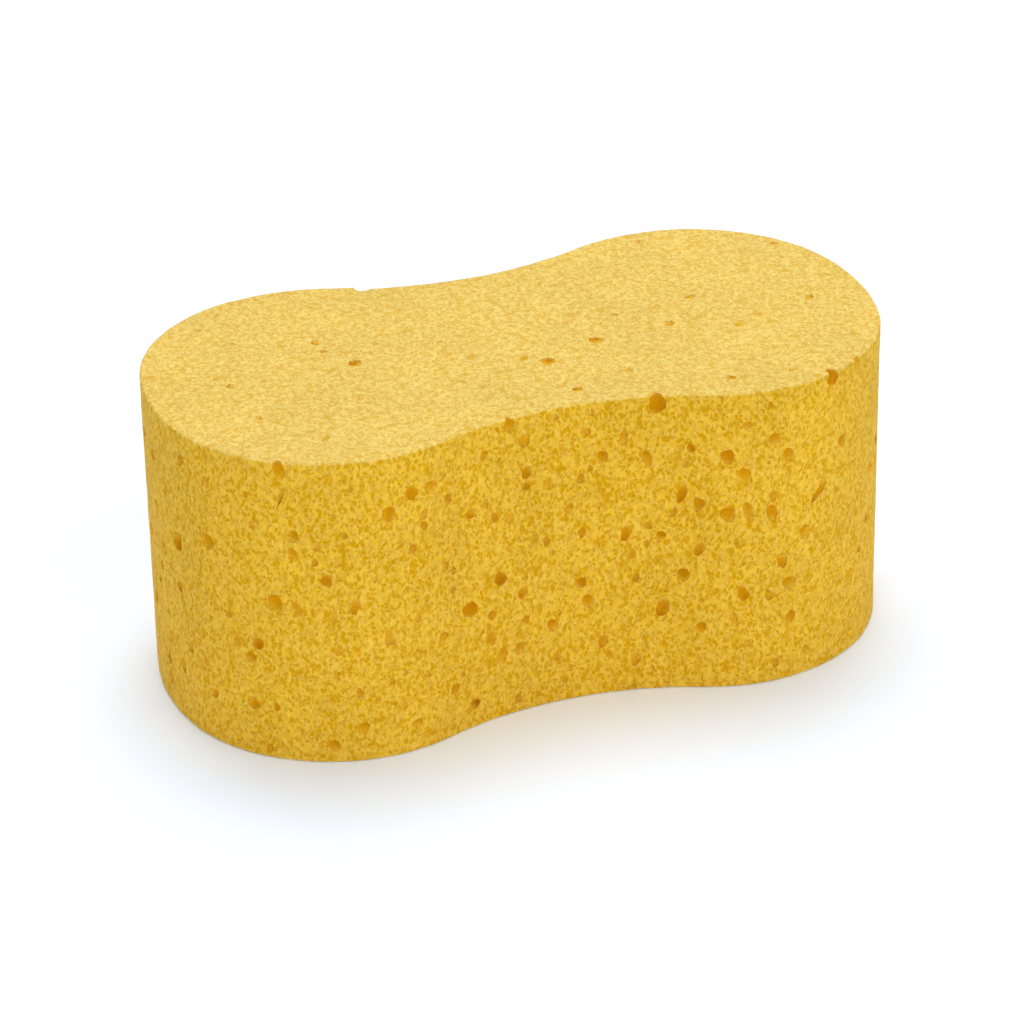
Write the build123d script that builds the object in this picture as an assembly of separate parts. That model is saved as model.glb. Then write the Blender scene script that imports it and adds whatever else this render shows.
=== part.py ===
from build123d import *
import os
from math import atan2, cos, degrees, hypot, pi, sin, sqrt
from random import Random

# Cleaning sponge: one block of expanded cellulose, die-cut to a figure-of-eight outline.
# It stands on its flat base, with the origin under its middle. X runs along its length, Y across
# it and Z up, and the side with y below zero is its front. All sizes are in millimetres.

# Block
length = 150.0  # tip to tip
lobe_width = 78.0  # across each lobe at its widest
waist_width = 62.0  # across the waist
height = 66.0
end_radius = 54.0  # blunt curve at each tip
shoulder_radius = 34.5  # tighter curves between the tip and the waist
edge_bevel = 0.5  # the die leaves its edges a little soft

# Pores. Each is a gas cell that the cut has opened. The foam rose upwards, so they are taller
# than wide on the walls and round on the top and base.
pore_sides = 8
pore_depth = 0.85  # as a share of the pore's width
belly_width = 0.62  # width below the mouth, as a share of the mouth's
belly_share = 0.7  # how far down that width lies, as a share of the depth
mouth_rise = 0.25  # how far a pore's tool starts outside the surface
scatter_seed = 5
wall_pores = 96  # scattered over the walls, besides those below
top_pores = 8
base_pores = 16
pore_spacing = 6.0  # least distance between the middles of scattered pores
small_pore, large_pore = 1.6, 2.7  # range of widths of the scattered pores
wall_stretch = 1.2, 1.7  # range of height over width on the walls
wall_margin = 3.0  # scattered pores keep this far from the top and base edges
face_margin = 4.0  # and this far from the outline on the top and base
mount_clear = 5.0  # and this far from the middle of the top and base, which stays whole

# Pores that show on the front wall: how far along it from the left tip and how far up it, both
# in percent, then width and height in millimetres and the lean to the left in degrees.
front_pores = [
    (5.9, 62, 3.0, 4.0, 0), (11.0, 68, 3.0, 3.0, 0), (14.0, 37, 1.8, 2.6, 0), (15.7, 33, 2.0, 2.6, 0),
    (16.5, 39, 2.6, 2.6, 0), (18.5, 53, 2.6, 4.0, 5), (19.5, 97, 2.4, 3.8, 0), (19.5, 89, 1.6, 4.2, 22),
    (20.5, 52, 1.8, 3.0, 15), (20.5, 70, 2.0, 3.0, 10), (20.6, 76, 1.8, 2.4, 0), (23.6, 5.5, 2.6, 2.8, 0),
    (23.7, 62, 2.2, 2.2, 0), (24.1, 51, 1.5, 5.5, 3), (26.3, 53, 1.6, 3.4, 8), (26.6, 10.5, 2.0, 3.4, 0),
    (29.6, 41, 1.7, 3.8, -12), (32.3, 87, 2.4, 2.8, 0), (34.4, 86, 2.6, 3.0, 0), (35.5, 35, 2.0, 2.4, 0),
    (36.8, 16, 2.0, 2.4, 0), (38.9, 41, 3.2, 3.2, 0), (39.3, 8, 2.6, 1.8, 0), (41.4, 29, 2.0, 3.4, 0),
    (42.6, 48, 2.6, 2.8, 0), (42.6, 21, 2.0, 4.0, -6), (44.0, 97.5, 2.2, 3.0, 0), (44.6, 22, 2.0, 2.6, 0),
    (45.1, 41, 2.0, 2.6, 0), (45.5, 92, 2.0, 3.2, 0), (45.8, 81, 2.2, 2.6, 0), (48.3, 27, 2.0, 2.6, 0),
    (51.2, 40, 2.4, 2.2, 0), (52.1, 33, 2.2, 3.0, 0), (53.6, 81, 2.0, 2.6, 0), (55.7, 86, 1.6, 4.2, -12),
    (56.0, 55, 2.0, 3.6, 0), (56.4, 48, 1.8, 2.4, 0), (56.9, 11.5, 1.7, 3.6, 0), (58.0, 79, 2.0, 4.0, 18),
    (59.1, 97.5, 2.8, 3.8, 0), (59.6, 28.5, 2.4, 3.8, 0), (61.4, 67, 2.0, 3.8, 30), (61.7, 39.5, 2.4, 2.6, 0),
    (63.1, 63, 2.0, 3.0, 0), (66.0, 79, 2.4, 2.8, 0), (66.1, 59.5, 2.7, 3.2, 0), (66.8, 22.5, 1.6, 5.0, 10),
    (67.7, 72, 2.5, 4.2, 0), (68.1, 60, 1.8, 4.4, 5), (70.6, 58, 2.0, 3.8, 0), (70.8, 83, 2.6, 2.8, 0),
    (71.7, 42, 2.0, 3.4, 0), (72.3, 77, 2.2, 3.0, 0), (72.6, 33, 2.6, 3.0, 0), (72.7, 21, 2.0, 3.2, 0),
    (74.4, 49, 2.2, 3.6, 0), (75.9, 61.5, 2.2, 3.2, 70), (77.6, 98, 2.6, 3.0, 0), (79.2, 75, 2.0, 2.8, 0),
    (81.6, 97, 2.0, 4.0, 0),
]

# Pores that show on the top: X, Y in percent of the half length and half lobe width, then width
# and breadth in millimetres and the turn in degrees.
top_places = [
    (-48.8, 33.6, 2.8, 2.4, 0), (-43.2, 3.2, 2.8, 3.0, 0), (-63.5, -68.2, 1.8, 2.4, 15),
    (-58.4, 37.7, 1.8, 2.4, -10), (-77.2, 1.5, 2.2, 1.8, 0), (20.7, -16.9, 3.0, 3.4, 0),
    (4.0, -30.5, 3.0, 3.2, 0), (-1.2, -20.5, 1.8, 2.4, -25), (60.0, -22.4, 2.6, 3.8, -10),
    (66.9, -17.3, 2.2, 2.0, 0), (53.7, 13.6, 2.2, 2.2, 0), (50.7, -7.9, 1.6, 1.8, 0),
    (21.7, -52.1, 1.6, 3.2, 20), (62.9, -83.3, 1.6, 2.6, 80), (-28.0, 85.0, 1.8, 2.6, 90),
]

# Outline. Three radii make each quarter of it: the tip, the shoulder and the waist, each tangent
# to the next. The tip's centre lies on X, the waist's on Y.
half_length = length / 2
half_lobe = lobe_width / 2
half_waist = waist_width / 2
tip_x = half_length - end_radius
shoulder_y = half_lobe - shoulder_radius
shoulder_x = tip_x + sqrt((end_radius - shoulder_radius) ** 2 - shoulder_y**2)
waist_rise = half_waist - shoulder_y
waist_radius = (shoulder_x**2 + waist_rise**2 - shoulder_radius**2) / (2 * (shoulder_radius - waist_rise))
waist_y = half_waist + waist_radius
end_turn = degrees(atan2(shoulder_y, shoulder_x - tip_x))
waist_turn = degrees(2 * atan2(shoulder_x, waist_y - shoulder_y))
shoulder_turn = 90 + waist_turn / 2 - end_turn
waist_bend = [(shoulder_radius, shoulder_turn), (waist_radius, -waist_turn), (shoulder_radius, shoulder_turn)]
half_tip = [(end_radius, end_turn)]
whole_tip = [(end_radius, 2 * end_turn)]


def arcs_from(at, heading, bends):
    """Arcs that run on from a point, each tangent to the last. A bend is a radius and a turn."""
    arcs = []
    for radius, turn in bends:
        arc = JernArc(at, heading, radius, turn)
        arcs.append(arc.edge())
        at = arc @ 1
        heading = arc % 1
    return arcs


def half_width(x):
    """How far the outline lies from the X axis at a given X."""
    x = min(abs(x), half_length)
    waist_end = shoulder_x * waist_radius / (waist_radius + shoulder_radius)
    tip_start = tip_x + end_radius * cos(end_turn * pi / 180)
    if x < waist_end:
        return waist_y - sqrt(waist_radius**2 - x**2)
    if x < tip_start:
        return shoulder_y + sqrt(shoulder_radius**2 - (x - shoulder_x) ** 2)
    return sqrt(end_radius**2 - (x - tip_x) ** 2)


def pore(wide, tall):
    """One opened cell: a many-sided mouth, walls that close in and a blunt point at the bottom."""
    turns = [2 * pi * i / pore_sides for i in range(pore_sides)]
    rim = Polygon(*[(wide / 2 * cos(a), tall / 2 * sin(a)) for a in turns], align=None)
    deep = pore_depth * wide
    belly_deep = belly_share * deep
    spread = 1 + (1 - belly_width) * mouth_rise / belly_deep
    mouth = Pos(0, 0, mouth_rise) * scale(rim, by=spread)
    belly = Pos(0, 0, -belly_deep) * scale(rim, by=belly_width)
    return loft([mouth.face(), belly.face(), Vertex(0, 0, -deep)], ruled=True)


def on_wall(run, z, lean):
    """A plane on the wall, run millimetres on from the left tip: X along it, Y up and Z outwards."""
    side = front if run < front.length else back
    run = run % front.length
    at = side.position_at(run, PositionMode.LENGTH)
    along = side.tangent_at(run, PositionMode.LENGTH)
    plane = Plane(Vector(at.X, at.Y, z), x_dir=along, z_dir=Vector(along.Y, -along.X, 0))
    return plane.rotated((0, 0, lean))


def scatter(count, draw, apart, taken):
    """Random places, each as far from the others and from those taken as the spacing says."""
    places = []
    while len(places) < count:
        place = draw()
        if all(apart(place, other) > pore_spacing for other in taken + places):
            places.append(place)
    return places


def draw_on_wall():
    run = dice.uniform(0, 2 * front.length)
    return run, dice.uniform(wall_margin, height - wall_margin)


def draw_on_face():
    while True:
        x = dice.uniform(-half_length, half_length)
        y = dice.uniform(-half_lobe, half_lobe)
        inside = abs(y) < half_width(x) - face_margin and abs(x) < half_length - face_margin
        if inside and hypot(x, y) > mount_clear:
            return x, y


def apart_on_wall(a, b):
    along = abs(a[0] - b[0])
    return hypot(min(along, 2 * front.length - along), a[1] - b[1])


def apart_on_face(a, b):
    return hypot(a[0] - b[0], a[1] - b[1])


def wall_tools():
    """The pores seen on the front wall, then those scattered round the whole block."""
    seen = [(p[0] / 100 * front.length, p[1] / 100 * height) for p in front_pores]
    tools = []
    for (run, z), (_, _, wide, tall, lean) in zip(seen, front_pores):
        tools.append(on_wall(run, z, lean) * pore(wide, tall))
    for run, z in scatter(wall_pores, draw_on_wall, apart_on_wall, seen):
        wide = dice.triangular(small_pore, large_pore, small_pore)
        tall = wide * dice.uniform(*wall_stretch)
        tools.append(on_wall(run, z, dice.uniform(-15, 15)) * pore(wide, tall))
    return tools


def face_tools():
    """The pores seen on the top, then those scattered over the top and the base."""
    seen = [(p[0] / 100 * half_length, p[1] / 100 * half_lobe) for p in top_places]
    tools = []
    for (x, y), (_, _, wide, broad, turn) in zip(seen, top_places):
        tools.append(Pos(x, y, height) * Rot(0, 0, turn) * pore(wide, broad))
    for x, y in scatter(top_pores, draw_on_face, apart_on_face, seen):
        wide = dice.uniform(small_pore, large_pore)
        tools.append(Pos(x, y, height) * Rot(0, 0, dice.uniform(0, 180)) * pore(wide, wide))
    for x, y in scatter(base_pores, draw_on_face, apart_on_face, []):
        wide = dice.triangular(small_pore, large_pore, small_pore)
        tools.append(Pos(x, y, 0) * Rot(180, 0, dice.uniform(0, 180)) * pore(wide, wide))
    return tools


dice = Random(scatter_seed)
front_arcs = arcs_from((-half_length, 0), (0, -1), half_tip + waist_bend + half_tip)
front = Wire(front_arcs)
back = front.rotate(Axis.Z, 180)
outline = arcs_from(front_arcs[-1] @ 0, front_arcs[-1] % 0, 2 * (whole_tip + waist_bend))
block = extrude(make_face(outline), height)
rims = block.edges().group_by(Axis.Z)
block = chamfer(rims[0] + rims[-1], edge_bevel)
sponge = block - (wall_tools() + face_tools())

os.makedirs("parts", exist_ok=True)
export_step(sponge, "parts/sponge.step")
print(f"sponge: {len(sponge.solids())} solid, {sponge.volume / 1000:.1f} cm3")
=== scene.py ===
import math
import random

import bmesh
import bpy
import numpy as np
from mathutils import Matrix, Vector, noise


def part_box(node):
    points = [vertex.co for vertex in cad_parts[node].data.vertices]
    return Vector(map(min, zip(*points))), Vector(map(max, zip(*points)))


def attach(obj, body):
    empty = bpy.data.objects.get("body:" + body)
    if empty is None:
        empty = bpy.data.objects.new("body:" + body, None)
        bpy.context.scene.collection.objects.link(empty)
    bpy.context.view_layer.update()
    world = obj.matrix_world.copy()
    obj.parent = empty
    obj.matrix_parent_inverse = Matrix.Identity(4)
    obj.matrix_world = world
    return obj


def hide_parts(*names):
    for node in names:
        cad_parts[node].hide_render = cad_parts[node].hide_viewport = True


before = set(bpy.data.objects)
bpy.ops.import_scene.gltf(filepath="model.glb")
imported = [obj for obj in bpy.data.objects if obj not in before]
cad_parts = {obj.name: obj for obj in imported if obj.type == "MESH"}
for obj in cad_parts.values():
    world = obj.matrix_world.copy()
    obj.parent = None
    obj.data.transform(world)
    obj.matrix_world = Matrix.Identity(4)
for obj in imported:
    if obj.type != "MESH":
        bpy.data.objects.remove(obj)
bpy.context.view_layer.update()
print("frame loaded")

# Cleaning sponge: one block of expanded cellulose, die-cut to a figure of eight. The mesh work is
# in millimetres, and the finished piece is brought to metres once, at the end.
mm = 0.001
highest = Vector(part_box("sponge")[1]) / mm

block = {
    "waistWidth": 62.0,
    "endRadius": 54.0,  # blunt curve at each tip
    "shoulderRadius": 34.5,  # tighter curves beside it
    "edgeRound": 0.55,  # the die leaves its edges a little soft
    "edgeSegments": 3,
    "arcStep": 1.6,  # length of the straight pieces that make up a curve
    "gridStep": 3.4,  # spacing of the cuts that keep the faces even
    "reliefDepth": 0.10,  # the cut surface waves this much
    "reliefSize": 5.0,
    "tatterDepth": 0.05,  # and is ragged this much at the size of the fine cells
    "tatterSize": 1.1,
    "baseCalm": 2.0,  # below this height the relief moves less up and down, so that the base stays flat
    "tearX": -20.6,  # the back top edge has one torn step here
    "tearBehind": 20.0,  # only the wall behind this is torn
    "tearRise": 0.6,  # its left side stands out this much
    "tearSink": 0.6,  # and its right side is sunk by this share of that
    "tearReach": 11.0,  # it fades out this far to the left
    "tearRight": 0.5,  # and over this share of that to the right
    "tearDown": 5.0,  # and this far down the wall
    "sharpFrom": 42.0,  # degrees, edges that turn more than this stay crisp
}

halfLength = highest.x
halfLobe = highest.y
height = highest.z
halfWaist = block["waistWidth"] / 2
endRadius = block["endRadius"]
shoulderRadius = block["shoulderRadius"]

# centres of the three arcs of a quarter of the outline, each tangent to the next
tipX = halfLength - endRadius
shoulderY = halfLobe - shoulderRadius
shoulderX = tipX + math.sqrt((endRadius - shoulderRadius) ** 2 - shoulderY**2)
waistRise = halfWaist - shoulderY
waistRadius = (shoulderX**2 + waistRise**2 - shoulderRadius**2) / (2 * (shoulderRadius - waistRise))
waistY = halfWaist + waistRadius
endTurn = math.atan2(shoulderY, shoulderX - tipX)
waistTurn = 2 * math.atan2(shoulderX, waistY - shoulderY)
shoulderTurn = math.pi / 2 + waistTurn / 2 - endTurn
halfBends = [
    (endRadius, endTurn),
    (shoulderRadius, shoulderTurn),
    (waistRadius, -waistTurn),
    (shoulderRadius, shoulderTurn),
    (endRadius, endTurn),
]
bends = halfBends + halfBends  # all round, counter-clockwise from the left tip
perimeter = sum(radius * abs(turn) for radius, turn in bends)


def wallPoint(run):  # point and outward direction on the outline, run millimetres on from the left tip
    at = Vector((-halfLength, 0, 0))
    heading = -math.pi / 2
    run %= perimeter
    for radius, turn in bends:
        bendLength = radius * abs(turn)
        reach = math.copysign(radius, turn)
        centre = at + reach * Vector((-math.sin(heading), math.cos(heading), 0))
        heading += turn * min(1, run / bendLength)
        at = centre - reach * Vector((-math.sin(heading), math.cos(heading), 0))
        if run <= bendLength:
            break
        run -= bendLength
    return at, Vector((math.sin(heading), -math.cos(heading), 0))


def wallDistance(x, y):  # how far a point, or an array of them, lies inside the outline
    x = np.abs(x)
    y = np.abs(y)
    fromWaist = np.hypot(x, waistY - y) - waistRadius
    fromShoulder = shoulderRadius - np.hypot(x - shoulderX, y - shoulderY)
    fromTip = endRadius - np.hypot(x - tipX, y)
    inWaist = x * (waistY - shoulderY) < shoulderX * (waistY - y)
    inTip = np.arctan2(y - shoulderY, np.maximum(x - shoulderX, 1e-6)) < endTurn
    inTip = inTip & (x > shoulderX)
    return np.where(inWaist, fromWaist, np.where(inTip, fromTip, fromShoulder))


def outwardAt(co):  # the wall's outward direction beside a point
    step = 0.01
    acrossX = wallDistance(co.x - step, co.y) - wallDistance(co.x + step, co.y)
    acrossY = wallDistance(co.x, co.y - step) - wallDistance(co.x, co.y + step)
    return Vector((acrossX, acrossY, 0)).normalized()


def depthBelow(points):  # depth of each point under the nearest of the block's plain faces
    x, y, z = points.T
    return np.minimum(wallDistance(x, y), np.minimum(z, height - z))


def blankBlock():
    bm = bmesh.new()
    last = bmesh.ops.create_vert(bm, co=(-halfLength, 0, 0))["vert"]
    at = Vector((-halfLength, 0, 0))
    heading = -math.pi / 2
    for radius, turn in bends:
        reach = math.copysign(radius, turn)
        centre = at + reach * Vector((-math.sin(heading), math.cos(heading), 0))
        steps = math.ceil(radius * abs(turn) / block["arcStep"])
        spun = bmesh.ops.spin(bm, geom=last, cent=centre, axis=(0, 0, 1), angle=turn, steps=steps)
        last = [item for item in spun["geom_last"] if isinstance(item, bmesh.types.BMVert)]
        heading += turn
        at = centre - reach * Vector((-math.sin(heading), math.cos(heading), 0))
    bmesh.ops.remove_doubles(bm, verts=bm.verts, dist=1e-3)
    base = bmesh.ops.contextual_create(bm, geom=bm.edges[:])["faces"]
    raised = bmesh.ops.extrude_face_region(bm, geom=base, use_keep_orig=True)["geom"]
    raised = [item for item in raised if isinstance(item, bmesh.types.BMVert)]
    bmesh.ops.translate(bm, verts=raised, vec=(0, 0, height))
    bmesh.ops.recalc_face_normals(bm, faces=bm.faces)
    rims = [edge for edge in bm.edges if abs(edge.verts[0].co.z - edge.verts[1].co.z) < 1e-6]
    bmesh.ops.bevel(
        bm, geom=rims, offset=block["edgeRound"], segments=block["edgeSegments"],
        profile=0.5, affect="EDGES", material=-1,
    )
    step = block["gridStep"]
    for axis, low, high in ((0, -halfLength, halfLength), (1, -halfLobe, halfLobe), (2, 0, height)):
        cuts = math.ceil((high - low) / step)
        direction = Vector([float(axis == i) for i in range(3)])
        for i in range(1, cuts):
            everything = bm.verts[:] + bm.edges[:] + bm.faces[:]
            place = direction * (low + (high - low) * i / cuts)
            bmesh.ops.bisect_plane(bm, geom=everything, dist=1e-3, plane_co=place, plane_no=direction)
    return bm


cells = {
    "seed": 7,
    "floorWidth": 0.62,  # the CAD pores' floor ring, as a share of the mouth
    "floorDepth": 0.595,  # and how deep it lies, as a share of the mouth's width
    "floorFrom": 0.4,  # a corner of the CAD block that lies deeper than this belongs to a pore
    "fewestCorners": 7,  # which has at least this many
    "wallTo": 0.05,  # a pore that points up or down by less than this is a wall's
    "flatFrom": 0.98,  # and by more than this the top's or the base's
    "setIn": 0.3,  # how far a cell's centre lies under the surface, as a share of its depth
    "depth": 0.62,  # as a share of its width
    "depthRange": (0.75, 1.15),  # each cell has its own share of that
    "fullDepthFrom": 1.8,  # narrower pores than this are shallower still
    "flatDepth": 0.6,  # and those of the top and base have this share of the rest
    "uneven": 0.2,  # how far its wall strays from an egg
    "unevenSize": 1.3,  # higher for more and smaller lumps
    "roundFrom": 1.1,  # wider pores than this get a finer mesh
    "teardrops": 0.35,  # share of the cells that narrow towards one end
    "narrowing": (0.15, 0.45),  # by this much
    "width": (0.8, 1.6),  # of the pores between the CAD ones
    "narrowBias": 1.6,  # above 1, narrow ones outnumber wide ones
    "spacing": 7.0,
    "apart": 1.1,  # room kept round each, as a share of its own height
    "calmFrom": 50.0,  # from the middle, past which the ends show fewer of them
    "calm": 0.55,  # share of them that is left out there
    "lowest": 0.6,  # height of the lowest on the walls
    "overTop": 0.2,  # and how far above the top the highest may be centred
    "stretch": (1.1, 1.8),  # height over width on the walls
    "rimStretch": 1.4,  # the same for those that the top rim cuts open
    "flatStretch": (1.0, 1.25),  # and on the top and base
    "lean": 0.2,  # radians, how far they turn from upright
    "flatShare": 0.05,  # the top and base show fewer pores than the walls
    "flatFill": 0.85,  # area of the outline, as a share of its bounding rectangle
    "flatMargin": 0.5,  # the top's and base's keep this far inside the outline
}
dice = random.Random(cells["seed"])
noise.seed_set(cells["seed"])  # without it noise_vector goes by the clock, and each run has other waves


def cadPores():  # each is a ring of floor corners round one deepest corner
    bm = bmesh.new()
    bm.from_mesh(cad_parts["sponge"].data)
    bmesh.ops.remove_doubles(bm, verts=bm.verts, dist=1e-6)
    depths = depthBelow(np.array([vert.co[:] for vert in bm.verts]) / mm)
    loose = {vert for vert, depth in zip(bm.verts, depths) if depth > cells["floorFrom"]}
    pores = []
    for start in bm.verts:
        if start not in loose:
            continue
        loose.remove(start)
        group = [start]
        for vert in group:
            for edge in vert.link_edges:
                other = edge.other_vert(vert)
                if other in loose:
                    loose.remove(other)
                    group.append(other)
        if len(group) < cells["fewestCorners"]:
            continue
        corners = sorted((vert.co / mm for vert in group), key=lambda co: depthBelow(np.array([co[:]]))[0])
        deepest = corners.pop()
        middle = sum(corners, Vector()) / len(corners)
        reaches = sorted(corners, key=lambda co: (co - middle).length)
        outward = (middle - deepest).normalized()
        upward = (reaches[-1] - middle).normalized()
        wide = 2 * (reaches[0] - middle).length / cells["floorWidth"]
        tall = 2 * (reaches[-1] - middle).length / cells["floorWidth"]
        mouth = middle + outward * cells["floorDepth"] * wide
        if cells["wallTo"] < abs(outward.z) < cells["flatFrom"]:
            # the top rim has cut it open, so its lower half tells its place
            corners.append(deepest)
            outward = outwardAt(middle)
            upward = Vector((0, 0, 1))
            spread = [co.dot(upward.cross(outward)) for co in corners]
            wide = (max(spread) - min(spread)) / cells["floorWidth"]
            tall = wide * cells["rimStretch"]
            mouth = middle + outward * float(wallDistance(middle.x, middle.y))
            mouth.z = min(co.z for co in corners) + tall / 2 * cells["floorWidth"]
        pores.append({"at": mouth, "out": outward, "up": upward, "wide": wide, "tall": tall})
    bm.free()
    return pores


def scatterPores(taken):  # on the walls, then the top and the base
    low, high = cells["width"]
    spacing = cells["spacing"]
    wallCount = round(perimeter * height / spacing**2)
    flatArea = 4 * halfLength * halfLobe * cells["flatFill"]
    flatCount = round(flatArea / spacing**2 * cells["flatShare"])
    wanted = [("wall", wallCount), ("top", flatCount), ("base", flatCount)]
    found = []
    near = {}
    box = 3.0  # pores are sorted into boxes of this size, and compared with those of the boxes round them

    def boxOf(co):
        return tuple(math.floor(value / box) for value in co)

    def boxesRound(co):
        key = boxOf(co)
        for i in (-1, 0, 1):
            for j in (-1, 0, 1):
                for k in (-1, 0, 1):
                    yield (key[0] + i, key[1] + j, key[2] + k)

    for pore in taken:
        near.setdefault(boxOf(pore["at"]), []).append(pore)
    for place, count in wanted:
        made = 0
        while made < count:
            wide = low + (high - low) * dice.random() ** cells["narrowBias"]
            if place == "wall":
                at, outward = wallPoint(dice.uniform(0, perimeter))
                if abs(at.x) > cells["calmFrom"] and dice.random() < cells["calm"]:
                    made += 1  # it counts, so that the middle doesn't get it instead
                    continue
                at.z = dice.uniform(cells["lowest"], height + cells["overTop"])
                tall = wide * dice.uniform(*cells["stretch"])
                upward = Vector((0, 0, 1))
            else:
                at = Vector((dice.uniform(-halfLength, halfLength), dice.uniform(-halfLobe, halfLobe), 0))
                if wallDistance(at.x, at.y) < cells["flatMargin"]:
                    continue
                outward = Vector((0, 0, 1 if place == "top" else -1))
                at.z = height if place == "top" else 0
                angle = dice.uniform(0, math.pi)
                upward = Vector((math.cos(angle), math.sin(angle), 0))
                tall = wide * dice.uniform(*cells["flatStretch"])
            upward = Matrix.Rotation(dice.gauss(0, cells["lean"]), 3, outward) @ upward
            apart = cells["apart"]
            reach = tall / 2 * apart
            others = [pore for key in boxesRound(at) for pore in near.get(key, [])]
            if any((pore["at"] - at).length < reach + pore["tall"] / 2 * apart for pore in others):
                continue
            pore = {"at": at, "out": outward, "up": upward, "wide": wide, "tall": tall}
            near.setdefault(boxOf(at), []).append(pore)
            found.append(pore)
            made += 1
    return found


def poreTool(pores):  # one egg-shaped cell for each pore, a little uneven
    tool = bmesh.new()
    part = bpy.data.meshes.new("part")
    for pore in pores:
        egg = bmesh.new()
        detail = 3 if pore["wide"] > cells["roundFrom"] else 2
        bmesh.ops.create_icosphere(egg, subdivisions=detail, radius=1)
        offset = Vector([dice.uniform(-50, 50) for i in range(3)])
        narrow = dice.uniform(*cells["narrowing"]) if dice.random() < cells["teardrops"] else 0
        for vert in egg.verts:
            vert.co *= 1 + cells["uneven"] * noise.noise(vert.co * cells["unevenSize"] + offset)
            vert.co.x *= 1 - narrow * vert.co.y
        sink = cells["setIn"]
        grow = 0.5 / math.sqrt(1 - sink**2)
        deep = cells["depth"] * pore["wide"] / (1 + sink) * dice.uniform(*cells["depthRange"])
        deep *= min(1, pore["wide"] / cells["fullDepthFrom"])
        if abs(pore["out"].z) > cells["flatFrom"]:
            deep *= cells["flatDepth"]
        along = pore["up"].cross(pore["out"])
        turn = Matrix((along, pore["up"], pore["out"])).transposed().to_4x4()
        size = Matrix.Diagonal((pore["wide"] * grow, pore["tall"] * grow, deep, 1))
        place = Matrix.Translation(pore["at"] - pore["out"] * sink * deep)
        bmesh.ops.transform(egg, matrix=place @ turn @ size, verts=egg.verts)
        egg.to_mesh(part)
        egg.free()
        tool.from_mesh(part)
    bpy.data.meshes.remove(part)
    return tool


def meshObject(name, bm):
    mesh = bpy.data.meshes.new(name)
    bm.to_mesh(mesh)
    bm.free()
    thing = bpy.data.objects.new(name, mesh)
    bpy.context.scene.collection.objects.link(thing)
    return thing


def carve(piece, toolMesh):  # cuts the tool out of the piece and keeps the result as its mesh
    tool = meshObject("tool", toolMesh)
    cut = piece.modifiers.new("cut", "BOOLEAN")
    cut.operation = "DIFFERENCE"
    cut.solver = "MANIFOLD"
    cut.object = tool
    carved = piece.evaluated_get(bpy.context.evaluated_depsgraph_get())
    carvedMesh = bpy.data.meshes.new_from_object(carved)
    piece.modifiers.remove(cut)
    oldMesh = piece.data
    piece.data = carvedMesh
    bpy.data.meshes.remove(oldMesh)
    bpy.data.objects.remove(tool)


def roughen(piece):  # slow waves and a ragged finish, the same inside the pores
    mesh = piece.data
    count = len(mesh.vertices)
    points = np.empty(count * 3)
    mesh.vertices.foreach_get("co", points)
    points = points.reshape(count, 3)
    depths = depthBelow(points)
    # depth under the plain faces, by which the material paints shade and bounced light into the pores
    keep = mesh.attributes.new("poreDepth", "FLOAT", "POINT")
    keep.data.foreach_set("value", np.maximum(depths, 0).astype(np.float32))
    for vert in mesh.vertices:
        co = vert.co
        move = noise.noise_vector(co / block["reliefSize"]) * block["reliefDepth"]
        move += noise.noise_vector(co / block["tatterSize"]) * block["tatterDepth"]
        slip = co.x - block["tearX"]
        reach = block["tearReach"] * (block["tearRight"] if slip > 0 else 1)
        if co.y > block["tearBehind"] and abs(slip) < reach:
            near = (1 - abs(slip) / reach) * max(0, 1 - (height - co.z) / block["tearDown"])
            move.y += block["tearRise"] * near * (-block["tearSink"] if slip > 0 else 1)
        if co.z < block["baseCalm"]:
            move.z *= co.z / block["baseCalm"]
        vert.co = co + move


def makeSponge():
    sponge = meshObject("sponge_foam", blankBlock())
    print("blank block:", len(sponge.data.polygons), "faces")
    fixed = cadPores()
    print("pores of the CAD block:", len(fixed))
    between = scatterPores(fixed)
    print("pores between them:", len(between))
    carve(sponge, poreTool(fixed))
    carve(sponge, poreTool(between))
    roughen(sponge)
    sponge.data.transform(Matrix.Scale(mm, 4))
    sponge.data.shade_smooth()
    sponge.data.set_sharp_from_angle(angle=math.radians(block["sharpFrom"]))
    triangles = sum(len(face.vertices) - 2 for face in sponge.data.polygons)
    print("sponge:", triangles, "triangles")
    return sponge


def linear(hexColour):  # sRGB hex to linear
    parts = [int(hexColour[i : i + 2], 16) / 255 for i in (1, 3, 5)]
    return [part / 12.92 if part <= 0.04045 else ((part + 0.055) / 1.055) ** 2.4 for part in parts] + [1]


def addNode(tree, kind, inputs=None, **settings):
    node = tree.nodes.new("ShaderNode" + kind)
    for name, value in settings.items():
        setattr(node, name, value)
    for name, value in (inputs or {}).items():
        if isinstance(value, bpy.types.NodeSocket):
            tree.links.new(value, node.inputs[name])
        else:
            node.inputs[name].default_value = value
    return node


def newMaterial(name):
    material = bpy.data.materials.new(name)
    material.use_nodes = True
    material.node_tree.nodes.clear()
    return material, material.node_tree


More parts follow.
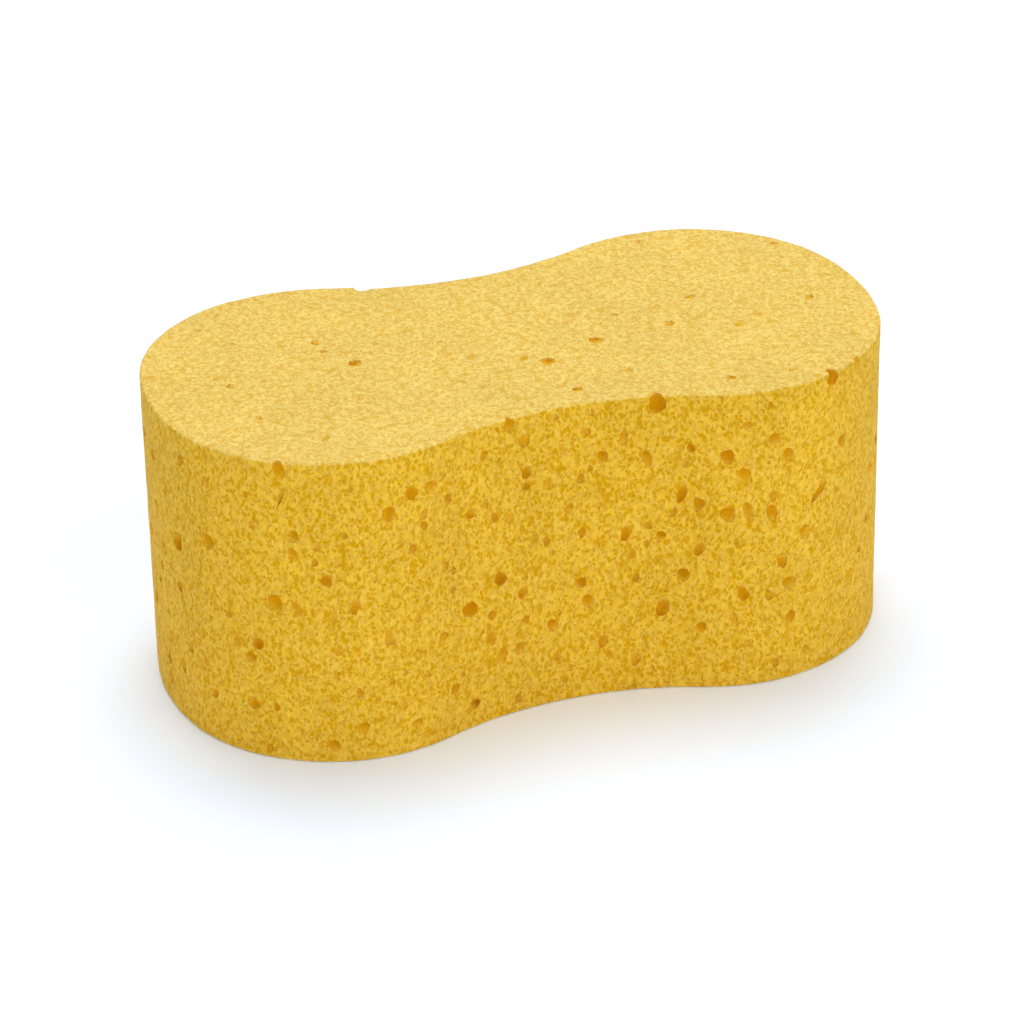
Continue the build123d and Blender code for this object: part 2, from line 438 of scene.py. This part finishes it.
foam = {
    "web": "#F8CA38",  # thin webs between the cells, where the cut leaves them
    "cell": "#DAA304",  # the cells that the cut has opened, painted darker and deeper orange for the shade and bounced light in their hollows
    "pore": "#E4AA08",  # inside the pores, painted darker and deeper orange for the shade there and the light that has bounced from yellow to yellow
    "ridgeHighlight": "#FFE07C",  # painted highlight along the fold lines of the webs
    "face": "#FFEA9A",  # painted light: the top, and by the same mask the base, is painted paler for the top's light from above and its sheen at a slant
    "faceLightShare": 0.55,
    "faceEdge": (0.5, 0.2),  # mm under the top, or over the base, where that begins and is complete
    "faceDepth": 0.7,  # and their cells show less than those of the sides
    "poreDepth": 0.35,  # as do those inside the pores
    "poreEdge": (0.1, 1.0),  # depth under the surface over which a pore's own colour takes over
    "sway": 0.9,  # mm by which the whole pattern is pushed about
    "swayScale": 0.9,
    "fineCell": 0.66,  # mm between the fine cells
    "crumple": 1.2,  # mm, size of the folds that break up the fine cells
    "patch": 1.6,  # mm, size of the uneven hollows where several cells have run together
    "patchFrom": 0.52,  # noise value at which such a hollow begins
    "patchTo": 0.78,
    "facePatch": 0.04,  # added to the noise on the top and base, which show more of them
    "tallness": 1.35,  # the cells rose upwards
    "foldAt": 0.47,  # the folds run where their noise, which goes from 0 to 1, has this value
    "ridgeHighlightShow": 0.4,
    "ridgeWidth": 0.06,  # in that noise
    "fineFrom": 0.78,  # Voronoi distance at which a fine cell begins
    "fineTo": 0.33,
    "crumpleFrom": 0.3,
    "crumpleTo": 0.55,
    "crumpleShow": (0.1, 1.0),  # how much of a fine cell shows at those two
    "shadeSize": 14.0,  # mm, size of the slow changes in how light the dye is
    "shade": (0.95, 1.03),
    "grain": 0.4,  # how far the folds stand out of the webs, against the depth of a cell
    "sheen": 0.12,
    "sheenRoughness": 0.4,
    "sheenTint": (1.0, 0.92, 0.7, 1.0),
    "glow": 0.12,  # share of the light that comes out beside where it went in
    "glowReach": 0.9,  # mm
    "glowColour": (1.0, 0.55, 0.12),  # how far red, green and blue go, as shares of that
    "bumpDepth": 0.12,  # mm
    "bumpStrength": 0.7,
}


def expandedCellulose():
    # Wood pulp foamed into cells and dyed right through: matt, with a pale bloom at a slant. Painted into its
    # colour:
    # shade and light bounced from yellow to yellow, which deepen the hue in the cells and pores, a painted
    # highlight along the folds of the webs, and a paler top and base for the top's light from above and its
    # sheen at a slant.
    material, tree = newMaterial("expandedCellulose")
    place = addNode(tree, "TexCoord").outputs["Object"]
    perMm = (1 / mm, 1 / mm, 1 / mm / foam["tallness"])
    inMm = addNode(tree, "Mapping", {"Vector": place, "Scale": perMm}).outputs["Vector"]
    sway = addNode(
        tree, "TexNoise", {"Vector": inMm, "Scale": foam["swayScale"], "Detail": 1.0}
    ).outputs["Color"]
    swayed = addNode(
        tree, "VectorMath", {0: sway, 1: (foam["sway"],) * 3, 2: inMm}, operation="MULTIPLY_ADD"
    ).outputs[0]

    web = addNode(tree, "TexVoronoi", {"Vector": swayed, "Scale": 1 / foam["fineCell"]}).outputs["Distance"]
    fine = addNode(
        tree, "MapRange", {"Value": web, "From Min": foam["fineFrom"], "From Max": foam["fineTo"]},
        interpolation_type="SMOOTHSTEP",
    ).outputs[0]
    crumple = addNode(
        tree, "TexNoise",
        {"Vector": swayed, "Scale": 1 / foam["crumple"], "Detail": 3.0, "Roughness": 0.65, "Distortion": 0.7},
    ).outputs[0]
    crumpled = addNode(tree, "MapRange", {
        "Value": crumple,
        "From Min": foam["crumpleFrom"],
        "From Max": foam["crumpleTo"],
        "To Min": foam["crumpleShow"][0],
        "To Max": foam["crumpleShow"][1],
    }).outputs[0]
    side = addNode(tree, "Math", {0: crumple, 1: foam["foldAt"]}, operation="SUBTRACT").outputs[0]
    offFold = addNode(tree, "Math", {0: side}, operation="ABSOLUTE").outputs[0]
    besideFold = addNode(tree, "MapRange", {"Value": offFold, "From Max": foam["ridgeWidth"]}).outputs[0]
    folded = addNode(tree, "Math", {0: crumpled, 1: besideFold}, operation="MULTIPLY").outputs[0]
    shallow = addNode(tree, "Math", {0: fine, 1: folded}, operation="MULTIPLY").outputs[0]
    patch = addNode(
        tree, "TexNoise", {"Vector": swayed, "Scale": 1 / foam["patch"], "Detail": 1.0}
    ).outputs[0]

    level = addNode(tree, "SeparateXYZ", {"Vector": place}).outputs["Z"]
    fromMiddle = addNode(tree, "Math", {0: level, 1: height / 2 * mm}, operation="SUBTRACT").outputs[0]
    outer = addNode(tree, "Math", {0: fromMiddle}, operation="ABSOLUTE").outputs[0]
    faceStart, faceFull = [(height / 2 - under) * mm for under in foam["faceEdge"]]
    onFace = addNode(
        tree, "MapRange", {"Value": outer, "From Min": faceStart, "From Max": faceFull}
    ).outputs[0]
    facePatch = addNode(
        tree, "Math", {0: onFace, 1: foam["facePatch"], 2: patch}, operation="MULTIPLY_ADD"
    ).outputs[0]
    wide = addNode(
        tree, "MapRange", {"Value": facePatch, "From Min": foam["patchFrom"], "From Max": foam["patchTo"]},
        interpolation_type="SMOOTHSTEP",
    ).outputs[0]
    opened = addNode(tree, "Math", {0: shallow, 1: wide}, operation="MAXIMUM").outputs[0]
    depth = addNode(tree, "Attribute", attribute_name="poreDepth").outputs["Fac"]
    inPore = addNode(
        tree, "MapRange", {"Value": depth, "From Min": foam["poreEdge"][0], "From Max": foam["poreEdge"][1]},
        interpolation_type="SMOOTHSTEP",
    ).outputs[0]
    onSide = addNode(
        tree, "MapRange", {"Value": onFace, "To Min": 1.0, "To Max": foam["faceDepth"]}
    ).outputs[0]
    inOpen = addNode(
        tree, "MapRange", {"Value": inPore, "To Min": 1.0, "To Max": foam["poreDepth"]}
    ).outputs[0]
    show = addNode(tree, "Math", {0: onSide, 1: inOpen}, operation="MULTIPLY").outputs[0]
    hollow = addNode(tree, "Math", {0: opened, 1: show}, operation="MULTIPLY").outputs[0]

    # painted light: the top and base are mixed towards the paler face colour
    paintedFaceLight = addNode(tree, "Math", {0: onFace, 1: foam["faceLightShare"]}, operation="MULTIPLY").outputs[0]
    webWithFaceLight = addNode(
        tree, "Mix", {0: paintedFaceLight, 6: linear(foam["web"]), 7: linear(foam["face"])}, data_type="RGBA"
    ).outputs[2]
    # painted highlight: the fold lines of the webs are mixed towards the paler ridge colour
    foldHighlight = addNode(
        tree, "MapRange", {"Value": besideFold, "To Min": foam["ridgeHighlightShow"], "To Max": 0.0}
    ).outputs[0]
    highlightedWeb = addNode(
        tree, "Mix", {0: foldHighlight, 6: webWithFaceLight, 7: linear(foam["ridgeHighlight"])}, data_type="RGBA"
    ).outputs[2]
    # painted shade and bounced light: the hollows of the cut cells take the darker cell colour
    shadedCutColour = addNode(
        tree, "Mix", {0: hollow, 6: highlightedWeb, 7: linear(foam["cell"])}, data_type="RGBA"
    ).outputs[2]
    # painted shade and bounced light: deeper under the surface, the pores take their darker colour
    poreShadedColour = addNode(
        tree, "Mix", {0: inPore, 6: shadedCutColour, 7: linear(foam["pore"])}, data_type="RGBA"
    ).outputs[2]
    patches = addNode(
        tree, "TexNoise", {"Vector": inMm, "Scale": 1 / foam["shadeSize"], "Detail": 2.0}
    ).outputs[0]
    shade = addNode(tree, "MapRange", {
        "Value": patches,
        "From Min": 0.3,
        "From Max": 0.7,
        "To Min": foam["shade"][0],
        "To Max": foam["shade"][1],
    }).outputs[0]
    # the colour with its painted light, times the slow changes in how light the dye is
    dyeWithPaintedLight = addNode(
        tree, "Mix", {0: 1.0, 6: poreShadedColour, 7: shade}, data_type="RGBA", blend_type="MULTIPLY"
    ).outputs[2]
    sunk = addNode(
        tree, "Math", {0: besideFold, 1: foam["grain"], 2: hollow}, operation="MULTIPLY_ADD"
    ).outputs[0]
    bump = addNode(
        tree, "Bump", {"Height": sunk, "Strength": foam["bumpStrength"], "Distance": foam["bumpDepth"] * mm},
        invert=True,
    ).outputs[0]
    shader = addNode(tree, "BsdfPrincipled", {
        "Base Color": dyeWithPaintedLight,
        "Roughness": 0.9,
        "Specular IOR Level": 0.05,
        "Sheen Weight": foam["sheen"],
        "Sheen Roughness": foam["sheenRoughness"],
        "Sheen Tint": foam["sheenTint"],
        "Subsurface Weight": foam["glow"],
        "Subsurface Radius": foam["glowColour"],
        "Subsurface Scale": foam["glowReach"] * mm,
        "Normal": bump,
    })
    addNode(tree, "OutputMaterial", {"Surface": shader.outputs[0]})
    return material


studio = {
    "floorColour": "#FBFBFA",
    "floorHalf": 4.0,  # m from its middle to each side
    "floorBelow": 0.05,  # mm, so that it never shares a plane with the base
    "floorSeen": (1.03, 1.14, 1.30),  # the camera sees the paper overexposed, so only the shadow shows
    "paperEnds": (0.28, 0.42),  # m from the middle, over which its lit part gives way to plain white
    "skyStrength": 0.65,
    "keyPower": 7.9,
    "keySize": 0.8,
    "keyPlace": (0.1, 0.4, 1.3),  # overhead and a little behind
    "fillPower": 12.0,
    "fillSize": 2.5,
    "fillPlace": (0.15, -1.15, 0.35),
    "target": (-4.35, -10.09, 33.0),  # mm
    "distance": 849.2,  # mm
    "azimuth": -18.85,
    "elevation": 28.40,
    "roll": -1.12,
    "lens": 148.9,
}


def cameraRay(tree):  # 1 for what the camera sees, straight or in gloss or glass
    paths = addNode(tree, "LightPath").outputs
    seen = addNode(tree, "Math", {0: paths["Is Camera Ray"], 1: paths["Is Glossy Ray"]}, operation="MAXIMUM")
    return addNode(
        tree, "Math", {0: seen.outputs[0], 1: paths["Is Transmission Ray"]}, operation="MAXIMUM"
    ).outputs[0]


def makeFloor():
    bm = bmesh.new()
    below = Matrix.Translation((0, 0, -studio["floorBelow"] * mm))
    bmesh.ops.create_grid(bm, x_segments=1, y_segments=1, size=studio["floorHalf"], matrix=below)
    floor = meshObject("floor", bm)
    material, tree = newMaterial("paperSweep")
    paper = addNode(
        tree, "Mix",
        {0: cameraRay(tree), 6: linear(studio["floorColour"]), 7: [*studio["floorSeen"], 1]},
        data_type="RGBA",
    ).outputs[2]
    matt = addNode(tree, "BsdfDiffuse", {"Color": paper}).outputs[0]
    white = addNode(tree, "Emission").outputs[0]  # past the light, where only the camera looks
    place = addNode(tree, "TexCoord").outputs["Object"]
    away = addNode(tree, "VectorMath", {0: place}, operation="LENGTH").outputs["Value"]
    far = addNode(tree, "MapRange", {
        "Value": away, "From Min": studio["paperEnds"][0], "From Max": studio["paperEnds"][1]
    }).outputs[0]
    farSeen = addNode(tree, "Math", {0: far, 1: cameraRay(tree)}, operation="MULTIPLY").outputs[0]
    sweep = addNode(tree, "MixShader", {0: farSeen, 1: matt, 2: white}).outputs[0]
    addNode(tree, "OutputMaterial", {"Surface": sweep})
    floor.data.materials.append(material)


def lightScene():
    world = bpy.data.worlds.new("tent")
    bpy.context.scene.world = world
    world.use_nodes = True
    tree = world.node_tree
    tree.nodes.clear()
    seen = cameraRay(tree)
    strength = addNode(
        tree, "MapRange", {"Value": seen, "To Min": studio["skyStrength"], "To Max": 1.0}
    ).outputs[0]
    sky = addNode(tree, "Background", {"Strength": strength}).outputs[0]
    addNode(tree, "OutputWorld", {"Surface": sky})
    for name in ("key", "fill"):
        lamp = bpy.data.lights.new(name, "AREA")
        lamp.shape = "SQUARE"
        lamp.size = studio[name + "Size"]
        lamp.energy = studio[name + "Power"]
        softbox = bpy.data.objects.new(name, lamp)
        softbox.location = studio[name + "Place"]
        softbox.rotation_euler = (-softbox.location).to_track_quat("-Z", "Y").to_euler()
        bpy.context.scene.collection.objects.link(softbox)


def placeCamera():
    azimuth, elevation, roll = [math.radians(studio[key]) for key in ("azimuth", "elevation", "roll")]
    forward = Vector((
        -math.sin(azimuth) * math.cos(elevation),
        math.cos(azimuth) * math.cos(elevation),
        -math.sin(elevation),
    ))
    level = Vector((math.cos(azimuth), math.sin(azimuth), 0))
    upward = level.cross(forward)
    right = math.cos(roll) * level + math.sin(roll) * upward
    upward = math.cos(roll) * upward - math.sin(roll) * level
    data = bpy.data.cameras.new("camera")
    data.lens = studio["lens"]
    data.sensor_width = 36
    data.clip_start = 0.01
    camera = bpy.data.objects.new("camera", data)
    turn = Matrix((right, upward, -forward)).transposed().to_4x4()
    eye = (Vector(studio["target"]) - studio["distance"] * forward) * mm
    camera.matrix_world = Matrix.Translation(eye) @ turn
    bpy.context.scene.collection.objects.link(camera)
    bpy.context.scene.camera = camera


sponge = makeSponge()
sponge.data.materials.clear()  # the cuts leave an empty slot
sponge.data.materials.append(expandedCellulose())
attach(sponge, "root")
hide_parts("sponge")
print("sponge done")

makeFloor()
lightScene()
placeCamera()
bpy.context.scene.view_settings.view_transform = "Standard"
print("stage, light and camera done")
